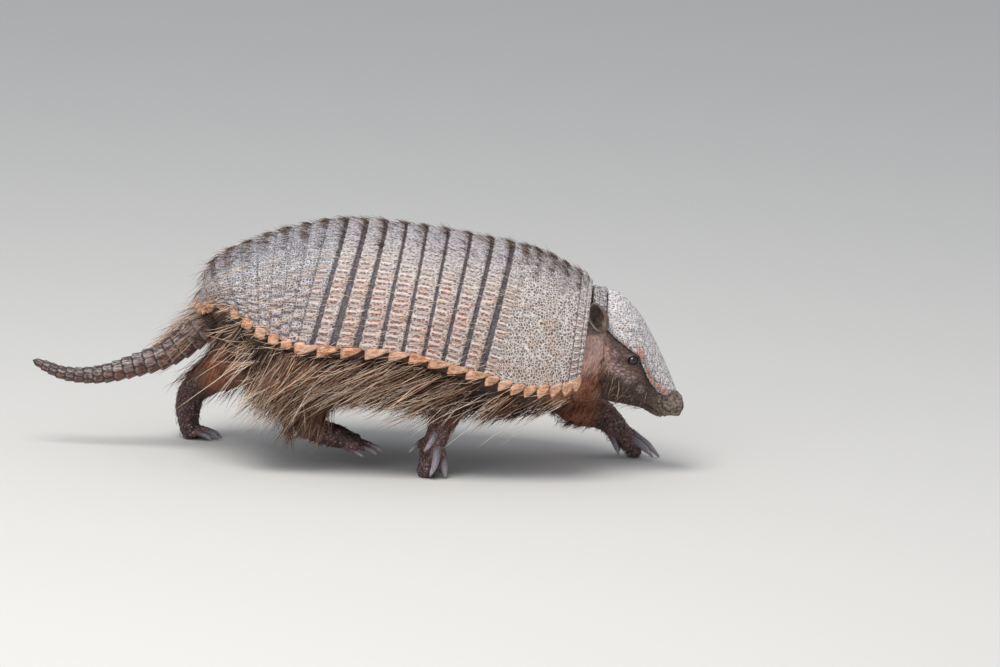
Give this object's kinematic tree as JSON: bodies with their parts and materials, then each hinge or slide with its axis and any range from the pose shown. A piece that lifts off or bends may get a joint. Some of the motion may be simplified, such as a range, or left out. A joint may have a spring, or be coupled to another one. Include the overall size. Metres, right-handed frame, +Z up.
{
  "type": "armadillo",
  "caption": "Life-size still model of a big hairy armadillo in mid-walk, with banded shell, head shield, ringed tail and shaggy flanks.",
  "frame": {"origin": "middle of the bounding box's footprint, on the level of the soles", "axes": "+X towards the head, +Y towards the animal's left side, +Z up"},
  "size_m": [0.4558, 0.1728, 0.1681],
  "materials": {
    "shell": "matt horny scutes, grey-beige network round dark pits",
    "bands": "matt horny scutes, red-brown centres with pale rims, dark hinge skin",
    "head_scutes": "matt horny scutes, grey-white with dark pits",
    "coat": "long coarse tan hair over brown skin",
    "face_skin": "wrinkled brown skin",
    "leg_skin": "scaly dark brown skin",
    "tail_scutes": "ringed dark grey-brown scutes with pale edges",
    "claw": "satin grey horn",
    "eye": "wet dark eye"
  },
  "bodies": {
    "root": {"pelvic_shield": "shell", "scapular_shield": "shell", "collar_band": "shell", "nuchal_band": "shell", "band_1": "bands", "band_2": "bands", "band_3": "bands", "band_4": "bands", "band_5": "bands", "band_6": "bands", "band_7": "bands", "band_8": "bands", "head_shield": "head_scutes", "torso": "coat", "head": "face_skin", "neck": "face_skin", "ear_left": "face_skin", "ear_right": "face_skin", "eye_left": "eye", "eye_right": "eye", "tail_base": "tail_scutes", "tail_mid": "tail_scutes", "tail_tip": "tail_scutes", "fore_right_upper": "leg_skin", "fore_right_foot": "leg_skin", "fore_left_upper": "leg_skin", "fore_left_foot": "leg_skin", "hind_right_upper": "leg_skin", "hind_right_foot": "leg_skin", "hind_left_upper": "leg_skin", "hind_left_foot": "leg_skin", "fore_right_claw_1": "claw", "fore_right_claw_2": "claw", "fore_right_claw_3": "claw", "fore_right_claw_4": "claw", "fore_right_claw_5": "claw", "fore_left_claw_1": "claw", "fore_left_claw_2": "claw", "fore_left_claw_3": "claw", "fore_left_claw_4": "claw", "fore_left_claw_5": "claw", "hind_right_claw_1": "claw", "hind_right_claw_2": "claw", "hind_right_claw_3": "claw", "hind_right_claw_4": "claw", "hind_right_claw_5": "claw", "hind_left_claw_1": "claw", "hind_left_claw_2": "claw", "hind_left_claw_3": "claw", "hind_left_claw_4": "claw", "hind_left_claw_5": "claw"}
  },
  "joints": []
}
